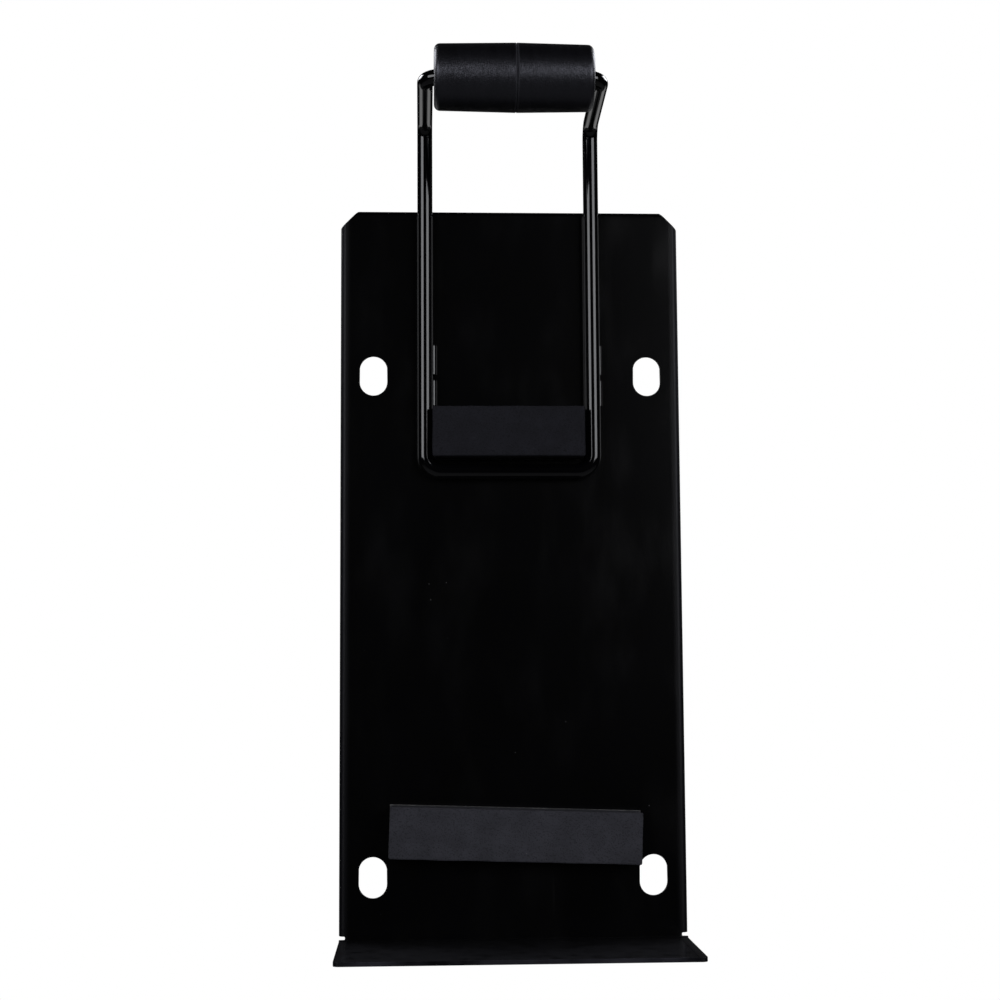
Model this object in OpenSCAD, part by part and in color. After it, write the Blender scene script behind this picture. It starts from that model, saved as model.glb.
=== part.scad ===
// Wall holder for a small desktop computer: a folded steel panel with a ledge at its foot,
// a bent wire bail with two turning grip sleeves, and two stuck-on foam pads.
// Sizes are in millimetres. +X is to the right and +Z is up for someone facing the wall.
// The origin is the middle of the top flange's rear edge, where the panel meets the wall at y = 0.

/* [Panel] */
// Width of the panel across its side flanges
panel_w = 124; // [116:1:160]
// Height of the panel above the top of the ledge
panel_h = 263.5; // [240:0.5:320]
// Thickness of the steel sheet
sheet_t = 1.5; // [1:0.1:2.5]
// Inside radius of the folds in the sheet
fold_r = 0.5; // [0.3:0.1:3]
// Depth of the rear flanges, from the panel's front face to the wall
flange_d = 10; // [8:0.5:25]
// Size of the 45 degree cut at each top corner
corner_cut = 6.5; // [5:0.5:12]
// Reach of the ledge in front of the panel
ledge_d = 44; // [25:1:80]
// Radius of the ledge's front corners
ledge_corner_r = 2; // [1:0.5:8]

/* [Relief notches] */
// How far each notch runs in past the side fold
relief_in = 0.2; // [0.1:0.1:2]
// Height of each notch, from the top of the foot's fold
relief_h = 1.2; // [0.5:0.1:3]

/* [Wall slots] */
// Width of each slot
slot_w = 10; // [5:0.5:12]
// Length of each slot, which runs upright
slot_l = 14.5; // [13:0.5:24]
// Distance between the two columns of slots
slot_pitch_x = 100; // [80:1:102]
// Distance between the two rows of slots
slot_pitch_z = 180; // [150:1:200]
// Height of the lower slots' centres above the ledge
slot_low = 22; // [14:0.5:30]

/* [Bail] */
// Diameter of the wire
wire_d = 5.5; // [4:0.25:6]
// Distance between the axes of the two legs
leg_pitch = 61; // [54:0.5:74]
// Distance of the bail's middle from the panel's middle, to the right
bail_x = -0.7; // [-3:0.1:3]
// How far the bottom bar's axis lies below the panel's top edge
bail_drop = 97; // [80:0.5:110]
// How far the sleeves' axis lies above the panel's top edge
bail_rise = 34.8; // [25:0.1:60]
// Reach of the sleeves' axis in front of the panel's face
bail_reach = 45.5; // [35:0.5:80]
// Upward slope of the arms from the legs to the sleeves, in degrees
arm_slope = 4.78; // [0:0.01:10]
// Radius of the wire's axis at the foot and top of each leg
leg_bend_r = 6; // [5:0.25:9]
// Radius of the wire's axis where an arm turns into its inward end
arm_bend_r = 5; // [4.5:0.25:8]
// Gap between the two ends of the wire, inside the sleeves
wire_end_gap = 1; // [0.5:0.1:3]
// Gap between the legs and the panel's face, filled by the welds
leg_seat_gap = 0.05; // [0.02:0.01:0.2]

/* [Welds] */
// Radius of the weld beads on the left leg
left_bead_r = 1.6; // [0.8:0.1:2]
// Radius of the weld beads on the right leg
right_bead_r = 1; // [0.8:0.1:2]
// Length of the lower bead on each leg
bead_low_l = 10.5; // [5:0.5:15]
// Length of the upper bead on each leg
bead_high_l = 12; // [5:0.5:20]
// Space between the two beads on a leg
bead_space = 1; // [0.5:0.5:10]

/* [Grip sleeves] */
// Diameter of each sleeve at the seam where the two meet
sleeve_seam_d = 23.6; // [18:0.1:30]
// Diameter of each sleeve at its outer end
sleeve_end_d = 22.6; // [18:0.1:30]
// Radius of the outer end's edge
sleeve_edge_r = 2; // [0.5:0.1:3]
// Size of the bevel at the seam
sleeve_seam_bevel = 0.5; // [0.2:0.1:1]
// Radial running gap between the wire and a sleeve
running_gap = 0.08; // [0.03:0.01:0.1]
// Gap between each sleeve and the arm beside it
end_play = 0.3; // [0.2:0.1:1]
// Gap between the two sleeves
seam_gap = 0.3; // [0.2:0.1:1]
// Distance of the seam from the bail's middle, to the right
seam_x = 0.9; // [-3:0.1:3]
// Gap round the wire's bend in the recess in each sleeve's outer end
recess_gap = 0.4; // [0.3:0.1:1]

/* [Foam pads] */
// Height of both foam strips
pad_h = 18.5; // [12:0.5:25]
// Thickness of the foam
pad_t = 10; // [4:0.25:12]
// Thickness of the adhesive film behind the foam
film_t = 0.2; // [0.1:0.05:0.5]
// Gap between the upper pad and the leg on either side
pad_leg_gap = 0.5; // [0.2:0.1:2]
// Gap between the bottom bar and the upper pad
pad_bar_gap = 2; // [1:0.5:10]
// Gap between the upper pad and the lower weld beads
pad_bead_gap = 0.5; // [0.3:0.1:5]
// Length of the lower pad
lower_pad_l = 89.5; // [60:0.5:100]
// Distance of the lower pad's middle from the panel's middle, to the right
lower_pad_x = 0.5; // [-3:0.1:3]
// Height of the lower pad's middle above the ledge
lower_pad_z = 37; // [25:0.5:90]
// Turn of the lower pad, which is stuck on slightly askew
lower_pad_tilt = 1.9; // [-3:0.1:3]

/* [Hidden] */
$fn = 64;
// Overshoot of a cutter past the surface that it cuts
cut = 1;

// Panel: the front face is at y = 0 and the ledge's top at z = 0 until to_wall() places them
fold_out = fold_r + sheet_t;
slot_straight = slot_l - slot_w;

// Bail, as seen from its own middle
wire_r = wire_d / 2;
leg_x = leg_pitch / 2;
leg_y = -(wire_r + leg_seat_gap);
bar_z = panel_h - bail_drop;
arm_z = panel_h + bail_rise;

// Grip sleeves: each runs from the seam to the inner side of its arm
sleeve_end_x = leg_x - wire_r - end_play;
sleeve_bore_r = wire_r + running_gap;
// How far the wire's bend reaches into a sleeve's outer end, and how far it leaves the axis there
bend_in = arm_bend_r - wire_r - end_play;
bend_off = arm_bend_r - sqrt(pow(arm_bend_r - wire_r, 2) - pow(bend_in, 2));
recess_r = bend_off + recess_gap;
recess_l = bend_in + recess_gap;

// Upper pad and the weld beads above it
upper_pad_l = leg_pitch - wire_d - 2 * pad_leg_gap;
upper_pad_z = bar_z + wire_r + pad_bar_gap + pad_h / 2;
bead_low_z = upper_pad_z + pad_h / 2 + pad_bead_gap;
bead_high_z = bead_low_z + bead_low_l + bead_space;

// Moves the panel's own frame to the wall's
module to_wall() {
    translate([0, -flange_d, sheet_t / 2 - panel_h]) children();
}

// Turns a shape's axis from Z to X, with its X to Y and its Y to Z
module along_x() {
    rotate([90, 0, 90]) children();
}

// Turns a shape's axis from Z to backwards, with its Y to Z
module along_y() {
    rotate([90, 0, 0]) mirror([0, 0, 1]) children();
}

// A quarter of folded sheet, in the +X +Y quarter round Z
module fold(length) {
    rotate_extrude(angle = 90) translate([fold_r, 0]) square([sheet_t, length]);
}

// Face, side flanges and top flange, before the top corners are cut
module pan() {
    face_w = panel_w - 2 * fold_out;
    flange_flat = flange_d - fold_out;
    translate([-face_w / 2, 0, fold_r]) cube([face_w, sheet_t, panel_h - fold_r - fold_out]);
    for (side = [0, 1]) mirror([side, 0, 0]) {
        translate([face_w / 2, fold_out, fold_r]) rotate(-90) fold(panel_h - fold_r);
        translate([panel_w / 2 - sheet_t, fold_out, fold_r]) cube([sheet_t, flange_flat, panel_h - fold_r]);
    }
    along_x() translate([fold_out, panel_h - fold_out, -panel_w / 2]) rotate(90) fold(panel_w);
    translate([-panel_w / 2, fold_out, panel_h - sheet_t]) cube([panel_w, flange_flat, sheet_t]);
}

// Front outline of the panel with its cut top corners
module cut_outline() {
    half = panel_w / 2;
    polygon([[-half, 0], [half, 0], [half, panel_h - corner_cut], [half - corner_cut, panel_h],
             [-half + corner_cut, panel_h], [-half, panel_h - corner_cut]]);
}

// Fold at the foot and the flat of the ledge
module ledge() {
    along_x() translate([-fold_r, fold_r, -panel_w / 2]) rotate(-90) fold(panel_w);
    translate([0, 0, -sheet_t]) linear_extrude(sheet_t) {
        translate([-panel_w / 2, -ledge_d + ledge_corner_r])
            square([panel_w, ledge_d - ledge_corner_r - fold_r]);
        translate([-panel_w / 2 + ledge_corner_r, -ledge_d])
            square([panel_w - 2 * ledge_corner_r, ledge_corner_r]);
        for (side = [0, 1]) mirror([side, 0])
            translate([panel_w / 2 - ledge_corner_r, -ledge_d + ledge_corner_r]) circle(ledge_corner_r);
    }
}

// Cutter for the notch over the right-hand end of the foot's fold, round at its inner end
module relief_notch() {
    run = flange_d + 2 * cut;
    tip_r = relief_h / 2;
    tip_x = panel_w / 2 - fold_out - relief_in + tip_r;
    translate([tip_x, -cut, fold_r]) along_y() {
        translate([0, tip_r, 0]) cylinder(r = tip_r, h = run);
        cube([fold_out + relief_in, relief_h, run]);
    }
}

// Cutter for one upright wall slot, with its middle at the origin
module wall_slot() {
    through = sheet_t + 2 * cut;
    translate([0, -cut, 0]) along_y() {
        for (end = [-1, 1]) translate([0, end * slot_straight / 2, 0]) cylinder(d = slot_w, h = through);
        translate([-slot_w / 2, -slot_straight / 2, 0]) cube([slot_w, slot_straight, through]);
    }
}

// A bend of wire round Z, from +X towards +Y
module wire_bend(radius, angle = 90) {
    rotate_extrude(angle = angle) translate([radius, 0]) circle(wire_r);
}

// The right-hand leg, arm and inward end, from the foot's bend to the wire's end at the seam
module bail_side(seam) {
    leg_foot = bar_z + leg_bend_r;
    bend_y = leg_y - leg_bend_r;
    arm_run = (bail_reach + bend_y + leg_bend_r * sin(arm_slope)) / cos(arm_slope);
    arm_l = arm_run - arm_bend_r;
    leg_top = arm_z - arm_run * sin(arm_slope) - leg_bend_r * cos(arm_slope);
    end_l = leg_x - arm_bend_r - seam - wire_end_gap / 2;
    translate([leg_x - leg_bend_r, leg_y, leg_foot]) rotate([90, 0, 0]) rotate(-90) wire_bend(leg_bend_r);
    translate([leg_x, leg_y, leg_foot]) cylinder(r = wire_r, h = leg_top - leg_foot);
    translate([leg_x, bend_y, leg_top]) along_x() {
        wire_bend(leg_bend_r, 90 - arm_slope);
        rotate(90 - arm_slope) translate([leg_bend_r, 0, 0]) {
            along_y() cylinder(r = wire_r, h = arm_l);
            translate([0, arm_l, -arm_bend_r]) {
                rotate([0, -90, 0]) wire_bend(arm_bend_r);
                translate([0, arm_bend_r, -end_l]) cylinder(r = wire_r, h = end_l);
            }
        }
    }
}

// One weld bead against the right-hand side of a leg, from its foot upwards
module bead(radius, length) {
    span = length - 2 * radius;
    side = radius + cut;
    through = length + 2 * cut;
    difference() {
        translate([wire_r, 0, radius]) {
            cylinder(r = radius, h = span);
            for (end = [0, span]) translate([0, 0, end]) sphere(radius);
        }
        translate([wire_r - side, 0, -cut]) cube([2 * side, side, through]);
        translate([0, leg_y, -cut]) cylinder(r = wire_r + leg_seat_gap, h = through);
    }
}

// Both beads of a leg whose axis is at a given distance from the bail's middle
module leg_beads(radius, leg) {
    translate([bail_x + leg, 0, bead_low_z]) bead(radius, bead_low_l);
    translate([bail_x + leg, 0, bead_high_z]) bead(radius, bead_high_l);
}

// Section of a sleeve: radius across, length from the seam upwards
module sleeve_section(length) {
    seam_r = sleeve_seam_d / 2;
    end_r = sleeve_end_d / 2;
    edge_x = end_r - sleeve_edge_r;
    edge_y = length - sleeve_edge_r;
    difference() {
        union() {
            polygon([[sleeve_bore_r, 0], [seam_r - sleeve_seam_bevel, 0], [seam_r, sleeve_seam_bevel],
                     [end_r, edge_y], [edge_x, edge_y], [edge_x, length], [sleeve_bore_r, length]]);
            translate([edge_x, edge_y]) intersection() {
                circle(sleeve_edge_r);
                square(sleeve_edge_r);
            }
        }
        translate([0, length - recess_l]) square([recess_r, recess_l + cut]);
    }
}

// The right-hand sleeve, with the seam at a given distance from the bail's middle
module sleeve(seam) {
    start_x = seam + seam_gap / 2;
    length = sleeve_end_x - start_x;
    translate([start_x, -bail_reach, arm_z]) along_x() rotate_extrude() sleeve_section(length);
}

// A strip of a pad's height, from y = back forwards to y = front
module strip(length, back, front) {
    translate([-length / 2, front, -pad_h / 2]) cube([length, back - front, pad_h]);
}

// Places a strip of the upper pad between the bail's legs
module at_upper_pad() {
    translate([bail_x, 0, upper_pad_z]) children();
}

// Places a strip of the lower pad above the ledge
module at_lower_pad() {
    translate([lower_pad_x, 0, lower_pad_z]) rotate([0, lower_pad_tilt, 0]) children();
}

module back_panel() {
    color([0.03, 0.03, 0.035]) to_wall() difference() {
        union() {
            intersection() {
                pan();
                translate([0, -cut, 0]) along_y() linear_extrude(flange_d + 2 * cut) cut_outline();
            }
            ledge();
        }
        for (x = [-1, 1], row = [0, 1])
            translate([x * slot_pitch_x / 2, 0, slot_low + row * slot_pitch_z]) wall_slot();
        for (side = [0, 1]) mirror([side, 0, 0]) relief_notch();
    }
}

module bail_wire() {
    bar_l = leg_pitch - 2 * leg_bend_r;
    color([0.05, 0.05, 0.055]) to_wall() translate([bail_x, 0, 0]) {
        translate([-bar_l / 2, leg_y, bar_z]) along_x() cylinder(r = wire_r, h = bar_l);
        bail_side(seam_x);
        mirror([1, 0, 0]) bail_side(-seam_x);
    }
}

module left_leg_welds() {
    color([0.06, 0.06, 0.065]) to_wall() leg_beads(left_bead_r, -leg_x);
}

module right_leg_welds() {
    color([0.06, 0.06, 0.065]) to_wall() leg_beads(right_bead_r, leg_x);
}

module left_grip_sleeve() {
    color([0.08, 0.08, 0.085]) to_wall() translate([bail_x, 0, 0]) mirror([1, 0, 0]) sleeve(-seam_x);
}

module right_grip_sleeve() {
    color([0.08, 0.08, 0.085]) to_wall() translate([bail_x, 0, 0]) sleeve(seam_x);
}

module upper_pad() {
    color([0.13, 0.13, 0.14]) to_wall() at_upper_pad() strip(upper_pad_l, -film_t, -film_t - pad_t);
}

module upper_pad_adhesive() {
    color([0.75, 0.75, 0.7]) to_wall() at_upper_pad() strip(upper_pad_l, 0, -film_t);
}

module lower_pad() {
    color([0.13, 0.13, 0.14]) to_wall() at_lower_pad() strip(lower_pad_l, -film_t, -film_t - pad_t);
}

module lower_pad_adhesive() {
    color([0.75, 0.75, 0.7]) to_wall() at_lower_pad() strip(lower_pad_l, 0, -film_t);
}

back_panel();
bail_wire();
left_leg_welds();
right_leg_welds();
left_grip_sleeve();
right_grip_sleeve();
upper_pad();
upper_pad_adhesive();
lower_pad();
lower_pad_adhesive();
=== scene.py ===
"""Looks of a wall-hung computer holder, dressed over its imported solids.

Shapes are drawn in millimetres in the part's own frame and become metres as pieces.
+X is to the right and +Z is up for someone facing the wall, which is the plane y = 0.
The origin is the middle of the top flange's rear edge.
"""
from math import cos, pi, radians, sin

import bmesh
import bpy
from mathutils import Matrix, Vector, noise


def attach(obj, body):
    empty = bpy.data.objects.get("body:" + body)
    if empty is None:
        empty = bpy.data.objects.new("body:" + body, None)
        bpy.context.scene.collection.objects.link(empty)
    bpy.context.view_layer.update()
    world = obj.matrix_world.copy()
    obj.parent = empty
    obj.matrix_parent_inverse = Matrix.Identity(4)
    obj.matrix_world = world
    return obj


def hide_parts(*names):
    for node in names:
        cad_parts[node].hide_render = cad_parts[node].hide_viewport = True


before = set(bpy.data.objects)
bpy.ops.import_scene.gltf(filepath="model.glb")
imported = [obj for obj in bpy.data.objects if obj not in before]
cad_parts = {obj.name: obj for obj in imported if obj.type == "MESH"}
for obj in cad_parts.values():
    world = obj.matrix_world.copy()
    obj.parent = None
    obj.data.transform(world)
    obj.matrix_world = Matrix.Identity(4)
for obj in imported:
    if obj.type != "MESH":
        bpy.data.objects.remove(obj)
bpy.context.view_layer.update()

MM = 0.001
NEAR = 0.01
QUARTER = radians(90)
SHARP = radians(50)
X_AXIS, Y_AXIS, Z_AXIS = (1, 0, 0), (0, 1, 0), (0, 0, 1)

# Folded panel
PANEL_HALF_W = 62.0
PANEL_TOP = 0.75
FACE_Y = -10.0
SHEET_T = 1.5
SHEET_EDGE_R = 0.3
FOLD_R = 0.5
FOLD_OUT = FOLD_R + SHEET_T
FOLD_STEPS = 8
FACE_HALF_W = PANEL_HALF_W - FOLD_OUT
CORNER_CUT = 6.5
LEDGE_TOP = -262.75
LEDGE_D = 44.0
LEDGE_FRONT = FACE_Y - LEDGE_D
LEDGE_CORNER_R = 2.0
LEDGE_CORNER_STEPS = 8
FOOT_Z = LEDGE_TOP + FOLD_R
NOTCH_H = 1.2
NOTCH_IN = 0.2
NOTCH_STEPS = 6
SLOT_X = 50.0
SLOT_LOW = 22.0
SLOT_PITCH = 180.0
SLOT_ROWS = (LEDGE_TOP + SLOT_LOW + SLOT_PITCH, LEDGE_TOP + SLOT_LOW)
SLOT_W = 10.0
SLOT_L = 14.5
SLOT_SIDES = 40

# Wire bail, measured across from its own middle
BAIL_X = -0.7
BAIL_DROP = 97.0
BAIL_RISE = 34.8
BAIL_REACH = 45.5
WIRE_R = 2.75
WIRE_SIDES = 40
LEG_X = 30.5
LEG_SEAT_GAP = 0.05
LEG_Y = FACE_Y - LEG_SEAT_GAP - WIRE_R
BAR_Z = PANEL_TOP - BAIL_DROP
ARM_Z = PANEL_TOP + BAIL_RISE
ARM_SLOPE = radians(4.78)
GRIP_Y = FACE_Y - BAIL_REACH
LEG_BEND_R = 6.0
ARM_BEND_R = 5.0
BEND_STEPS = 14
WIRE_END_GAP = 1.0
WIRE_END_R = 0.6

# Foam pads on their adhesive film
PAD_H = 18.5
PAD_T = 10.0
PAD_FILM = 0.2
PAD_EDGE_R = 0.7
PAD_CELL = 1.5
PAD_WAIST = 0.22
PAD_CROWN = 0.25
PAD_UNEVEN = 0.12
PAD_UNEVEN_SPAN = 9.0
UPPER_PAD = {"x": BAIL_X, "z": -82.25, "length": 54.5, "tilt": 0.0, "lean": 0.95}
LOWER_PAD = {"x": 0.5, "z": -225.75, "length": 89.5, "tilt": 1.9, "lean": 0.0}
# One foam for both pads: the upper is painted darker as painted shade, the lower paler as painted light.
UPPER_FOAM_SHADED = {"level": 0.0102, "tint": 1.4}
LOWER_FOAM_LIT = {"level": 0.0375, "tint": 1.22}

# Weld beads against the right-hand side of each leg, each with its foot and its length
BEADS = ((-72.5, 10.5), (-61.0, 12.0))
LEFT_BEAD_R = 1.6
RIGHT_BEAD_R = 1.0
BEAD_SIDES = 20
BEAD_TIP_R = 0.05
BEAD_RIPPLE = 2.6
BEAD_RIPPLE_STEPS = 12
BEAD_RIPPLE_DEPTH = 0.04
BEAD_END = 0.7
BEAD_END_LEAST = 0.001
BEAD_SINK = 0.1

# Grip sleeves, measured across from the bail's middle
SEAM_X = 0.9
SEAM_GAP = 0.06
SEAM_DISH = 0.3
SEAM_EASE = 0.35
SLEEVE_END_X = 27.45
SLEEVE_SEAM_R = 11.8
SLEEVE_END_R = 11.3
SLEEVE_EDGE_R = 2.0
SLEEVE_BORE_R = 2.83
SLEEVE_RECESS_R = 4.28
SLEEVE_RECESS_X = 25.1
SLEEVE_RECESS_EASE = 0.4
SLEEVE_STEPS = 96

# Reach of the marks, painted light and painted shade on the panel's coat
DUST_AND_LIGHT_INSET = 12.0
DUST_AND_LIGHT_LOW = (2.0, 4.0)
PALE_FRONT_EDGE = (0.2, 0.6)
DIMMED_FOLD_REACH = 2.0
PALE_REAR_REACH = 1.5

# Camera at the photograph's place, in metres and degrees
LENS_MM = 62.27
SENSOR_MM = 36.0
CAMERA_PLACE = (-0.0331, -0.6342, -0.16855)
CAMERA_PITCH = 5.69
CAMERA_ROLL = 0.34
CAMERA_YAW = -2.624

# Softboxes, each with its place and size in metres and its power in watts
LAMP_COLOUR = (0.95, 0.96, 1.0)
LAMP_AIM = (0, -0.02, -0.12)
SOFTBOXES = {
    "left softbox": ((-0.85, -0.95, 0.2), (0.8, 0.6), 6.5),
    "right softbox": ((0.78, -0.98, 0.2), (0.8, 0.6), 6.5),
    "left rear softbox": ((-1.05, 0.7, 0.75), (0.8, 0.5), 11.0),
    "right rear softbox": ((1.05, 0.7, 0.75), (0.8, 0.5), 11.0),
}

# Floor, in metres, with the stretch over which it fades
FLOOR_HALF = 1.6
FLOOR_Z = -0.72
FLOOR_FADE = (0.8, 1.5)


class Out:
    """An output of a shader node. Arithmetic on it adds Math nodes to the same tree."""

    def __init__(self, tree, socket=None):
        self.tree = tree
        self.socket = socket

    def node(self, kind, settings=None, inputs=None, output=0):
        """Adds a node with its settings and inputs, and gives one of its outputs, if it has any."""
        made = self.tree.nodes.new("ShaderNode" + kind)
        for name, value in (settings or {}).items():
            setattr(made, name, value)
        for name, value in (inputs or {}).items():
            if isinstance(value, Out):
                self.tree.links.new(value.socket, made.inputs[name])
            else:
                made.inputs[name].default_value = value
        return Out(self.tree, made.outputs[output]) if made.outputs else None

    def math(self, operation, *values):
        """Adds a Math node on the given values."""
        return self.node("Math", {"operation": operation}, dict(enumerate(values)))

    def __add__(self, other):
        return self.math("ADD", self, other)

    def __sub__(self, other):
        return self.math("SUBTRACT", self, other)

    def __rsub__(self, other):
        return self.math("SUBTRACT", other, self)

    def __mul__(self, other):
        return self.math("MULTIPLY", self, other)

    def __lt__(self, other):
        return self.math("LESS_THAN", self, other)

    def __abs__(self):
        return self.math("ABSOLUTE", self)

    __radd__ = __add__
    __rmul__ = __mul__

    def or_more(self, other):
        """The larger of two values."""
        return self.math("MAXIMUM", self, other)

    def along(self, axis):
        """One part of a vector."""
        return self.node("SeparateXYZ", {}, {0: self}, output=axis)

    def step(self, low, high):
        """A soft step from 0 at low to 1 at high."""
        return self.node("MapRange", {"interpolation_type": "SMOOTHSTEP"},
                         {"Value": self, "From Min": low, "From Max": high})

    def blend(self, base, top):
        """Mixes two colours, with this as the share of the top one."""
        return self.node("Mix", {"data_type": "RGBA"}, {0: self, 6: base, 7: top}, output=2)


def grey(level, tint=1.0):
    """A near-neutral colour whose blue is tint times its other channels."""
    return (level, level, level * tint, 1.0)


def empty_tree(owner):
    """Clears the nodes of a material or world, and gives a start for new ones."""
    owner.use_nodes = True
    owner.node_tree.nodes.clear()
    return Out(owner.node_tree)


def finish_start(name):
    """A new material and the place of a point on the piece, in millimetres."""
    material = bpy.data.materials.new(name)
    start = empty_tree(material)
    place = start.node("TexCoord", output="Object")
    return material, start.node("VectorMath", {"operation": "SCALE"}, {0: place, "Scale": 1 / MM})


def facing(place, axis):
    """How far the surface faces along an axis."""
    return place.node("TexCoord", output="Normal").along(axis)


def mottle(place, size, detail=2.0, stretch=(1, 1, 1)):
    """Cloudy noise whose patches are about size millimetres across."""
    scaled = place.node("Mapping", {}, {"Vector": place, "Scale": stretch})
    return place.node("TexNoise", {}, {"Vector": scaled, "Scale": 1 / size, "Detail": detail})


def specks(place, spacing, radius, share, stretch=(1, 1, 1), turn=0.0):
    """Small marks, one to a cell of the given spacing, in a share of the cells."""
    scaled = place.node("Mapping", {}, {"Vector": place, "Scale": stretch, "Rotation": (0, turn, 0)})
    cells = {"Vector": scaled, "Scale": 1 / spacing}
    from_middle = place.node("TexVoronoi", {}, cells)
    cell_colour = place.node("TexVoronoi", {}, cells, output="Color")
    chosen = place.node("SeparateColor", {}, {"Color": cell_colour}) < share
    return (1 - from_middle.step(0.5 * radius / spacing, radius / spacing)) * chosen


def relief(height, depth, under=None):
    """Bumps of the given depth in millimetres, laid over other bumps."""
    inputs = {"Height": height, "Distance": depth * MM, "Strength": 1.0}
    if under:
        inputs["Normal"] = under
    return height.node("Bump", {}, inputs)


def surface(place, **inputs):
    """Ends a material in one principled shader."""
    shader = place.node("BsdfPrincipled", {}, {k.replace("_", " "): v for k, v in inputs.items()})
    place.node("OutputMaterial", {}, {"Surface": shader})


def ledge_dust_and_light(place, shade):
    """Dust on the ledge's top, with painted light that grows towards the ledge's front, and a front edge
    that is paler in patches.
    """
    forward = place.along("Y")
    on_ledge = 1 - place.along("Z").step(*(LEDGE_TOP + rise for rise in DUST_AND_LIGHT_LOW))
    # Painted light: the ledge's top grows lighter towards its front.
    lit_towards_front = 1 - forward.step(LEDGE_FRONT + DUST_AND_LIGHT_INSET, FACE_Y + DUST_AND_LIGHT_INSET)
    # A front edge that is paler in patches.
    at_front = 1 - forward.step(*(LEDGE_FRONT + inset for inset in PALE_FRONT_EDGE))
    dusty = mottle(place, size=5.0, detail=5.0).step(0.1, 0.6)
    paler_marks = mottle(place, size=18.0, detail=4.0).step(0.2, 0.7)
    dust_and_light = facing(place, "Z").step(0.6, 0.9) * on_ledge * lit_towards_front * dusty
    return (at_front * paler_marks).blend(dust_and_light.blend(shade, grey(0.02, 1.15)), grey(0.033, 1.25))


def dimmed_folds_and_pale_rear(place):
    """Shares of painted shade that darkens and blues the reflection towards the side folds, and of painted
    light that makes the flanges and the panel's rear paler.
    """
    sides = abs(place.along("X")).step(FACE_HALF_W - DIMMED_FOLD_REACH, FACE_HALF_W + DIMMED_FOLD_REACH)
    fold_end = FACE_Y + FOLD_OUT
    behind_fold = place.along("Y").step(fold_end, fold_end + PALE_REAR_REACH)
    return sides, facing(place, "Y").step(0.3, 0.7).or_more(behind_fold)


def powder_coat(name, level, gloss, peel_size, peel_depth, paler_marks=None, dull=None):
    """Gloss black powder coat: orange peel, slow waves, handling smears, hairline scratches and dust."""
    material, place = finish_start(name)
    waves = relief(mottle(place, size=35.0), depth=0.05)
    peel = relief(mottle(place, peel_size), peel_depth, under=waves)
    clouds = mottle(place, size=30.0, detail=4.0)
    smears = mottle(place, size=14.0, detail=3.0, stretch=(1, 1, 0.35)).step(0.45, 0.75)
    hairlines = specks(place, spacing=9.0, radius=0.5, share=0.25, stretch=(1, 1, 0.05), turn=0.35)
    dust = specks(place, spacing=6.0, radius=0.22, share=0.22)
    shade = clouds.step(0.3, 0.7).blend(grey(0.7 * level, 1.25), grey(1.3 * level, 1.25))
    shade = (0.1 * hairlines).blend(shade, grey(0.012))
    shade = dust.blend(shade, grey(0.045))
    # On the panel: dust with painted light on the ledge, and a front edge paler in patches.
    if paler_marks:
        shade = paler_marks(place, shade)
    finish = {"Normal": peel, "Roughness": gloss + 0.05 * smears + 0.03 * hairlines + 0.3 * dust}
    # Painted shade: a near-black, bluish metallic colour darkens the side folds' reflection. Painted light:
    # the flanges and the panel's rear are paler and matte.
    if dull:
        sides, rear = dull(place)
        shade = rear.blend(sides.blend(shade, grey(0.002, 2.0)), grey(0.014, 1.15))
        finish["Roughness"] = finish["Roughness"] + 0.4 * sides.or_more(rear)
        finish["Metallic"] = 0.92 * sides * (1 - rear)
    surface(place, Base_Color=shade, **finish)
    return material


def sleeve_rubber():
    """Satin black rubber: a fine ground grain round it, flow marks, a little lint and grime at the seam."""
    material, place = finish_start("sleeve_rubber")
    grain = mottle(place, size=0.12, detail=1.0, stretch=(1, 0.1, 0.1))
    flow = mottle(place, size=6.0, detail=3.0, stretch=(2.5, 0.4, 0.4))
    lint = specks(place, spacing=5.0, radius=0.25, share=0.18)
    grime = 1 - abs(place.along("X") - (BAIL_X + SEAM_X)).step(0.3, 0.9)
    shade = flow.step(0.3, 0.7).blend(grey(0.0022, 1.3), grey(0.0032, 1.3))
    # Painted light: the bluish tint on the highlights stands in for the lamps' colour.
    surface(place, Base_Color=(0.6 * lint).blend(shade, grey(0.05)),
            Roughness=0.35 + 0.06 * flow + 0.2 * lint + 0.4 * grime,
            Specular_IOR_Level=0.68, Specular_Tint=(0.86, 0.87, 1.0, 1.0),
            Normal=relief(grain, depth=0.06, under=relief(flow, depth=0.06)))
    return material


def pad_foam(name, level, tint):
    """Matte closed-cell foam: open cut cells as fine pits with painted shade in them, a soft mottle and
    paler dust.
    """
    material, place = finish_start(name)
    cells = place.node("TexVoronoi", {"feature": "SMOOTH_F1"}, {"Vector": place, "Scale": 1 / 0.55})
    pits = 1 - cells.step(0.1, 0.45)
    cloud = mottle(place, size=7.0, detail=3.0)
    fibre = mottle(place, size=0.8, detail=4.0)
    dust = specks(place, spacing=3.5, radius=0.25, share=0.2)
    shade = cloud.step(0.3, 0.7).blend(grey(0.87 * level, tint), grey(1.13 * level, tint))
    # Painted shade in the pits of the cut cells.
    shade = (0.55 * pits).blend(shade, grey(0.32 * level, tint))
    shade = (0.5 * dust).blend(shade, grey(3.5 * level))
    surface(place, Base_Color=shade, Roughness=0.85 + 0.1 * fibre, Specular_IOR_Level=0.25,
            Normal=relief(fibre, depth=0.12, under=relief(1 - pits, depth=0.12)))
    return material


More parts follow.
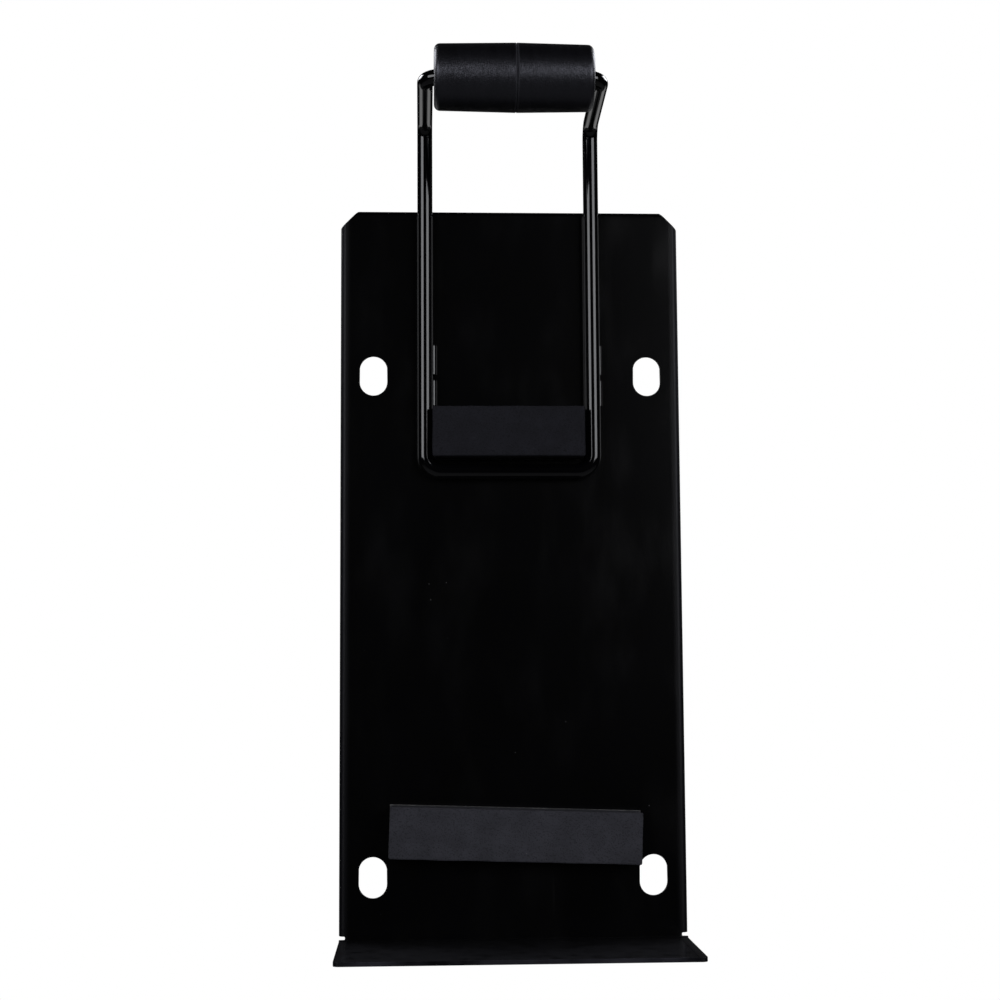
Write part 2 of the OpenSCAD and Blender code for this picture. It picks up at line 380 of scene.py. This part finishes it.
def film_adhesive():
    """Dull acrylic film with trapped air along its edge."""
    material, place = finish_start("film_adhesive")
    air = mottle(place, size=1.2, detail=3.0)
    surface(place, Base_Color=air.step(0.4, 0.7).blend(grey(0.03), grey(0.075)),
            Roughness=0.35 + 0.3 * air, Normal=relief(air, depth=0.03))
    return material


def ends_of(edges):
    """The ends of edges, each once."""
    return list(dict.fromkeys(v for e in edges for v in e.verts))


def draw(bm, edges, offset):
    """Draws edges out by an offset and gives the edges at the far end."""
    drawn = bmesh.ops.extrude_edge_only(bm, edges=edges)["geom"]
    far = {g for g in drawn if isinstance(g, bmesh.types.BMVert)}
    bmesh.ops.translate(bm, vec=offset, verts=list(far))
    return [g for g in drawn if isinstance(g, bmesh.types.BMEdge) and far.issuperset(g.verts)]


def turn(bm, edges, centre, axis, angle, steps):
    """Sweeps edges round an axis and gives the edges at the far end."""
    swept = bmesh.ops.spin(bm, geom=[*ends_of(edges), *edges], cent=centre, axis=axis, angle=angle,
                           steps=steps)
    return [g for g in swept["geom_last"] if isinstance(g, bmesh.types.BMEdge)]


def edges_where(bm, test):
    """The edges both of whose ends pass a test on their place."""
    return [e for e in bm.edges if all(test(v.co) for v in e.verts)]


def sharp_edges(bm):
    """The edges at which faces meet at a sharp angle."""
    return [e for e in bm.edges if e.is_manifold and e.calc_face_angle() > SHARP]


def ease(bm, edges, radius, segments):
    """Rounds edges."""
    bmesh.ops.bevel(bm, geom=edges, offset=radius, offset_type="OFFSET", segments=segments, profile=0.5,
                    affect="EDGES", clamp_overlap=True, material=-1)


def cut_off(bm, point, normal):
    """Cuts off what lies beyond a plane and closes the cut."""
    cut = bmesh.ops.bisect_plane(bm, geom=[*bm.verts, *bm.edges, *bm.faces], clear_outer=True,
                                 plane_co=point, plane_no=normal)
    rim = [g for g in cut["geom_cut"] if isinstance(g, bmesh.types.BMEdge)]
    bmesh.ops.holes_fill(bm, edges=rim, sides=0)


def piece(name, bm, finish, body, node):
    """A finished piece in metres, which stands for a solid and moves with its body."""
    bmesh.ops.scale(bm, vec=(MM, MM, MM), verts=bm.verts)
    mesh = bpy.data.meshes.new(name)
    bm.to_mesh(mesh)
    bm.free()
    mesh.materials.append(finish)
    mesh.shade_smooth()
    made = bpy.data.objects.new(name, mesh)
    bpy.context.scene.collection.objects.link(made)
    weighted = made.modifiers.new("flat faces stay flat", "WEIGHTED_NORMAL")
    weighted.keep_sharp = True
    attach(made, body)
    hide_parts(node)
    return made


def slot_outline(bm, x, z):
    """Edge of one upright slot in the face: a circle with its halves drawn apart."""
    place = Matrix.Translation((x, FACE_Y, z)) @ Matrix.Rotation(QUARTER, 4, "X")
    ring = bmesh.ops.create_circle(bm, segments=SLOT_SIDES, radius=SLOT_W / 2, matrix=place)["verts"]
    half = (SLOT_L - SLOT_W) / 2
    for v in ring:
        v.co.z += half if v.co.z > z else -half


def slotted_face(bm):
    """The flat of the face with its four slots and the inner ends of the relief notches."""
    rises = [i / NOTCH_STEPS for i in range(NOTCH_STEPS + 1)]
    notch = [(FACE_HALF_W - NOTCH_IN * sin(pi * rise), FOOT_Z + NOTCH_H * rise) for rise in rises]
    right = notch + [(FACE_HALF_W, PANEL_TOP - FOLD_OUT)]
    outline = right + [(-x, z) for x, z in reversed(right)]
    verts = [bm.verts.new((x, FACE_Y, z)) for x, z in outline]
    for pair in zip(verts, verts[1:] + verts[:1]):
        bm.edges.new(pair)
    for z in SLOT_ROWS:
        slot_outline(bm, -SLOT_X, z)
        slot_outline(bm, SLOT_X, z)
    bmesh.ops.triangle_fill(bm, use_beauty=True, edges=bm.edges, normal=(0, -1, 0))
    bmesh.ops.dissolve_limit(bm, angle_limit=radians(1), edges=bm.edges)


def flanges(bm):
    """Side and top edges folded back to the wall."""
    face_top, fold_y, notch_top = PANEL_TOP - FOLD_OUT, FACE_Y + FOLD_OUT, FOOT_Z + NOTCH_H
    right = edges_where(bm, lambda p: p.x > FACE_HALF_W - NEAR and p.z > notch_top - NEAR)
    left = edges_where(bm, lambda p: p.x < NEAR - FACE_HALF_W and p.z > notch_top - NEAR)
    top = edges_where(bm, lambda p: p.z > face_top - NEAR)
    for edges, centre, axis, angle in (
            (right, (FACE_HALF_W, fold_y, 0), Z_AXIS, QUARTER),
            (left, (-FACE_HALF_W, fold_y, 0), Z_AXIS, -QUARTER),
            (top, (0, fold_y, face_top), X_AXIS, -QUARTER)):
        draw(bm, turn(bm, edges, centre, axis, angle, FOLD_STEPS), (0, -fold_y, 0))


def ledge(bm):
    """Foot folded forward into the ledge, as wide as the panel across its flanges."""
    foot = edges_where(bm, lambda p: p.z < FOOT_Z + NEAR)
    for end in ends_of(foot):
        side = 1 if end.co.x > 0 else -1
        outer = bm.verts.new((side * PANEL_HALF_W, FACE_Y, FOOT_Z))
        foot.append(bm.edges.new((end, outer)))
    fold_y = FACE_Y - FOLD_R
    fold = turn(bm, foot, (0, fold_y, FOOT_Z), X_AXIS, -QUARTER, FOLD_STEPS)
    draw(bm, fold, (0, LEDGE_FRONT - fold_y, 0))
    joints = edges_where(bm, lambda p: p.y < fold_y + NEAR and abs(abs(p.x) - FACE_HALF_W) < NEAR)
    bmesh.ops.dissolve_edges(bm, edges=joints, use_verts=True)
    tips = [v for v in bm.verts if abs(v.co.x) > PANEL_HALF_W - NEAR and v.co.y < LEDGE_FRONT + NEAR]
    bmesh.ops.bevel(bm, geom=tips, offset=LEDGE_CORNER_R, offset_type="OFFSET", segments=LEDGE_CORNER_STEPS,
                    profile=0.5, affect="VERTICES", material=-1)


def folded_panel():
    """One folded sheet, from its front skin to its full thickness and eased edges."""
    bm = bmesh.new()
    slotted_face(bm)
    flanges(bm)
    ledge(bm)
    bmesh.ops.recalc_face_normals(bm, faces=bm.faces)
    front = max(bm.faces, key=lambda f: f.calc_area())
    if front.normal.y > 0:
        bmesh.ops.reverse_faces(bm, faces=bm.faces)
    bmesh.ops.solidify(bm, geom=bm.faces[:], thickness=SHEET_T)
    for side in (-1, 1):
        cut_off(bm, (side * PANEL_HALF_W, 0, PANEL_TOP - CORNER_CUT), (side, 0, 1))
    ease(bm, sharp_edges(bm), SHEET_EDGE_R, segments=2)
    return bm


def wire_bail():
    """Half the bottom bar, a leg, an arm and an elbow, mirrored, and then the two inward ends."""
    bm = bmesh.new()
    start = Matrix.Translation((0, LEG_Y, BAR_Z)) @ Matrix.Rotation(QUARTER, 4, "Y")
    bmesh.ops.create_circle(bm, segments=WIRE_SIDES, radius=WIRE_R, matrix=start)
    forward, up = -cos(ARM_SLOPE), sin(ARM_SLOPE)
    bend_x, foot_z, bend_y = LEG_X - LEG_BEND_R, BAR_Z + LEG_BEND_R, LEG_Y - LEG_BEND_R
    arm_run = (GRIP_Y - bend_y - LEG_BEND_R * up) / forward
    head_z = ARM_Z - arm_run * up + LEG_BEND_R * forward
    arm_l, elbow_x = arm_run - ARM_BEND_R, LEG_X - ARM_BEND_R
    elbow = (elbow_x, GRIP_Y - ARM_BEND_R * forward, ARM_Z - ARM_BEND_R * up)
    edges = draw(bm, bm.edges[:], (bend_x, 0, 0))
    edges = turn(bm, edges, (bend_x, LEG_Y, foot_z), Y_AXIS, -QUARTER, BEND_STEPS)
    edges = draw(bm, edges, (0, 0, head_z - foot_z))
    edges = turn(bm, edges, (LEG_X, bend_y, head_z), X_AXIS, QUARTER - ARM_SLOPE, BEND_STEPS)
    edges = draw(bm, edges, (0, arm_l * forward, arm_l * up))
    turn(bm, edges, elbow, (0, up, -forward), -QUARTER, BEND_STEPS)
    bmesh.ops.mirror(bm, geom=[*bm.verts, *bm.edges, *bm.faces], axis="X", merge_dist=NEAR)
    bmesh.ops.remove_doubles(bm, verts=bm.verts, dist=NEAR)
    for side in (-1, 1):
        open_end = [e for e in bm.edges if e.is_boundary and side * e.verts[0].co.x > 0]
        end_x = SEAM_X + side * WIRE_END_GAP / 2
        end = draw(bm, open_end, (end_x - side * elbow_x, 0, 0))
        bmesh.ops.edgeloop_fill(bm, edges=end)
        ease(bm, end, WIRE_END_R, segments=3)
    bmesh.ops.translate(bm, vec=(BAIL_X, 0, 0), verts=bm.verts)
    bmesh.ops.recalc_face_normals(bm, faces=bm.faces)
    return bm


def bead(bm, x, radius, foot, length):
    """One rippled weld bead, drawn up from its foot in short steps of changing girth."""
    steps = BEAD_RIPPLE_STEPS * round(length / BEAD_RIPPLE)
    place = Matrix.Translation((x, FACE_Y, foot))
    bmesh.ops.create_circle(bm, segments=BEAD_SIDES, radius=BEAD_TIP_R, matrix=place)
    edges = [e for e in bm.edges if e.is_wire]
    bmesh.ops.edgeloop_fill(bm, edges=edges)
    girth = BEAD_TIP_R
    for i in range(1, steps + 1):
        along = i / steps * length
        end = min(along, length - along, BEAD_END) / BEAD_END
        round_end = max(1 - (1 - end) ** 2, BEAD_END_LEAST) ** 0.5
        ripple = 1 - BEAD_RIPPLE_DEPTH * sin(pi * along / BEAD_RIPPLE) ** 2
        wanted = radius * round_end * ripple
        edges = draw(bm, edges, (0, 0, length / steps))
        bmesh.ops.scale(bm, vec=(wanted / girth, wanted / girth, 1), verts=ends_of(edges),
                        space=Matrix.Translation((-x, -FACE_Y, 0)))
        girth = wanted
    bmesh.ops.edgeloop_fill(bm, edges=edges)


def leg_beads(side, radius):
    """Both beads of one leg, cut off just inside the sheet."""
    bm = bmesh.new()
    for foot, length in BEADS:
        bead(bm, BAIL_X + side * LEG_X + WIRE_R, radius, foot, length)
    cut_off(bm, (0, FACE_Y + BEAD_SINK, 0), Y_AXIS)
    bmesh.ops.recalc_face_normals(bm, faces=bm.faces)
    return bm


def grip_sleeve(side):
    """One sleeve: its section swept round the wire's end, with eased edges and a faintly dished seam."""
    bm = bmesh.new()
    seam_x = side * SEAM_X + SEAM_GAP / 2
    section = [(seam_x + side * SEAM_DISH, SLEEVE_BORE_R), (seam_x, SLEEVE_SEAM_R),
               (SLEEVE_END_X, SLEEVE_END_R), (SLEEVE_END_X, SLEEVE_RECESS_R),
               (SLEEVE_RECESS_X, SLEEVE_RECESS_R), (SLEEVE_RECESS_X, SLEEVE_BORE_R)]
    verts = [bm.verts.new((x, 0, r)) for x, r in section]
    edges = [bm.edges.new(pair) for pair in zip(verts, verts[1:] + verts[:1])]
    bmesh.ops.spin(bm, geom=[*verts, *edges], cent=(0, 0, 0), axis=X_AXIS, angle=4 * QUARTER,
                   steps=SLEEVE_STEPS, use_merge=True)
    bmesh.ops.recalc_face_normals(bm, faces=bm.faces)

    def rim(x, r):
        return edges_where(bm, lambda p: abs(p.x - x) < NEAR and abs(p.yz.length - r) < NEAR)

    ease(bm, rim(SLEEVE_END_X, SLEEVE_END_R), SLEEVE_EDGE_R, segments=8)
    ease(bm, rim(seam_x, SLEEVE_SEAM_R), SEAM_EASE, segments=4)
    ease(bm, rim(SLEEVE_END_X, SLEEVE_RECESS_R), SLEEVE_RECESS_EASE, segments=3)
    if side < 0:
        bmesh.ops.scale(bm, vec=(-1, 1, 1), verts=bm.verts)
        bmesh.ops.recalc_face_normals(bm, faces=bm.faces)
    bmesh.ops.translate(bm, vec=(BAIL_X, GRIP_Y, ARM_Z), verts=bm.verts)
    return bm


def foam_pad(x, z, length, tilt, lean):
    """A strip cut from foam sheet: eased edges, walls drawn in by the cutter, a faintly uneven face.

    The front of its left end leans out, where the strip is squeezed in beside a leg.
    """
    bm = bmesh.new()
    size = (length, PAD_T, PAD_H)
    bmesh.ops.create_cube(bm, size=1, matrix=Matrix.Diagonal((*size, 1)))
    for axis, extent in enumerate(size):
        along = [e for e in bm.edges if abs((e.verts[0].co - e.verts[1].co)[axis]) > extent / 2]
        cuts = round(extent / PAD_CELL) - 1
        bmesh.ops.subdivide_edges(bm, edges=along, cuts=cuts, use_grid_fill=True)
    ease(bm, sharp_edges(bm), PAD_EDGE_R, segments=4)
    for v in bm.verts:
        across = Vector((2 * v.co.x / length, 2 * v.co.y / PAD_T, 2 * v.co.z / PAD_H))
        uneven = PAD_UNEVEN * (1 + noise.noise(v.co / PAD_UNEVEN_SPAN + Vector((z, 0, 0))))
        waist = PAD_WAIST * (1 - across.y ** 2)
        crown = PAD_CROWN * (across.x ** 4 + across.z ** 4)
        v.co.x -= (waist + uneven) * across.x ** 9 + lean * (1 - across.x) * (1 - across.y) / 4
        v.co.z -= (waist + uneven) * across.z ** 9
        v.co.y += (crown + uneven) * max(0, -across.y) ** 3
    middle = Matrix.Translation((x, FACE_Y - PAD_FILM - PAD_T / 2, z))
    bmesh.ops.transform(bm, matrix=middle @ Matrix.Rotation(radians(tilt), 4, "Y"), verts=bm.verts)
    return bm


def dress():
    """All pieces with their finishes."""
    panel_coat = powder_coat("panel_coat", level=0.0008, gloss=0.18, peel_size=1.6, peel_depth=0.006,
                             paler_marks=ledge_dust_and_light, dull=dimmed_folds_and_pale_rear)
    wire_coat = powder_coat("wire_coat", level=0.0012, gloss=0.08, peel_size=1.1, peel_depth=0.004)
    rubber, film = sleeve_rubber(), film_adhesive()
    piece("folded_panel", folded_panel(), panel_coat, "holder", "back_panel")
    piece("bail", wire_bail(), wire_coat, "holder", "bail_wire")
    for side, name, bead_r in ((-1, "left", LEFT_BEAD_R), (1, "right", RIGHT_BEAD_R)):
        piece(name + "_weld_beads", leg_beads(side, bead_r), wire_coat, "holder", name + "_leg_welds")
        piece(name + "_grip", grip_sleeve(side), rubber, name + "_sleeve", name + "_grip_sleeve")
    for name, strip, shade in (("upper", UPPER_PAD, UPPER_FOAM_SHADED), ("lower", LOWER_PAD, LOWER_FOAM_LIT)):
        foam = pad_foam(name + "_foam", **shade)
        pad = piece(name + "_foam", foam_pad(**strip), foam, "holder", name + "_pad")
        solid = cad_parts[name + "_pad_adhesive"].data
        solid.materials.clear()
        solid.materials.append(film)


def camera():
    """Camera a little left of the panel and below its middle, looking up."""
    lens = bpy.data.cameras.new("camera")
    lens.lens, lens.sensor_width = LENS_MM, SENSOR_MM
    made = bpy.data.objects.new("camera", lens)
    made.location = CAMERA_PLACE
    made.rotation_euler = (QUARTER + radians(CAMERA_PITCH), radians(CAMERA_ROLL), radians(CAMERA_YAW))
    bpy.context.scene.collection.objects.link(made)
    bpy.context.scene.camera = made


def softbox(name, place, size, power):
    """A rectangular lamp that faces the part."""
    lamp = bpy.data.lights.new(name, "AREA")
    lamp.shape, lamp.size, lamp.size_y, lamp.energy = "RECTANGLE", *size, power
    lamp.color = LAMP_COLOUR
    made = bpy.data.objects.new(name, lamp)
    made.location = place
    made.rotation_euler = (Vector(LAMP_AIM) - Vector(place)).to_track_quat("-Z", "Y").to_euler()
    bpy.context.scene.collection.objects.link(made)


def surroundings():
    """A white backdrop, which glossy surfaces see behind and below the part, in an otherwise dim room."""
    world = bpy.data.worlds.new("studio")
    bpy.context.scene.world = world
    start = empty_tree(world)
    camera_ray = start.node("LightPath", output="Is Camera Ray")
    glossy_ray = start.node("LightPath", output="Is Glossy Ray")
    view = start.node("TexCoord", output="Generated")
    aside = abs(view.along("X")).step(0.15, 0.3)
    backdrop = aside * view.along("Y").step(0.5, 0.8) * (1 - view.along("Z").step(-0.25, 0.0))
    seen = camera_ray.or_more(0.8 * backdrop * glossy_ray)
    light = start.node("Background", {}, {"Color": seen.blend(grey(0.005), grey(1.0)), "Strength": 1.0})
    start.node("OutputWorld", {}, {"Surface": light})


def pale_floor():
    """A pale floor below the part, which fades into the white backdrop and keeps the part's shadow."""
    bm = bmesh.new()
    bmesh.ops.create_grid(bm, x_segments=1, y_segments=1, size=FLOOR_HALF)
    bmesh.ops.translate(bm, vec=(0, 0, FLOOR_Z), verts=bm.verts)
    mesh = bpy.data.meshes.new("floor")
    bm.to_mesh(mesh)
    bm.free()
    floor = bpy.data.objects.new("floor", mesh)
    bpy.context.scene.collection.objects.link(floor)
    material = bpy.data.materials.new("pale floor")
    start = empty_tree(material)
    place = start.node("TexCoord", output="Object")
    fade = start.node("VectorMath", {"operation": "LENGTH"}, {0: place}, output="Value").step(*FLOOR_FADE)
    shown = start.node("LightPath", output="Is Camera Ray")
    glow = start.node("Emission", {}, {"Color": fade.blend(grey(0.68), grey(1.0)), "Strength": shown})
    matte = start.node("BsdfDiffuse", {}, {"Color": grey(0.15)})
    start.node("OutputMaterial", {}, {"Surface": start.node("AddShader", {}, {0: glow, 1: matte})})
    mesh.materials.append(material)


def studio():
    """White surroundings, a softbox on either side in front of the part and behind it, and a floor."""
    surroundings()
    for name, (place, size, power) in SOFTBOXES.items():
        softbox(name, place, size, power)
    pale_floor()


dress()
camera()
studio()
bpy.context.scene.view_settings.view_transform = "Standard"
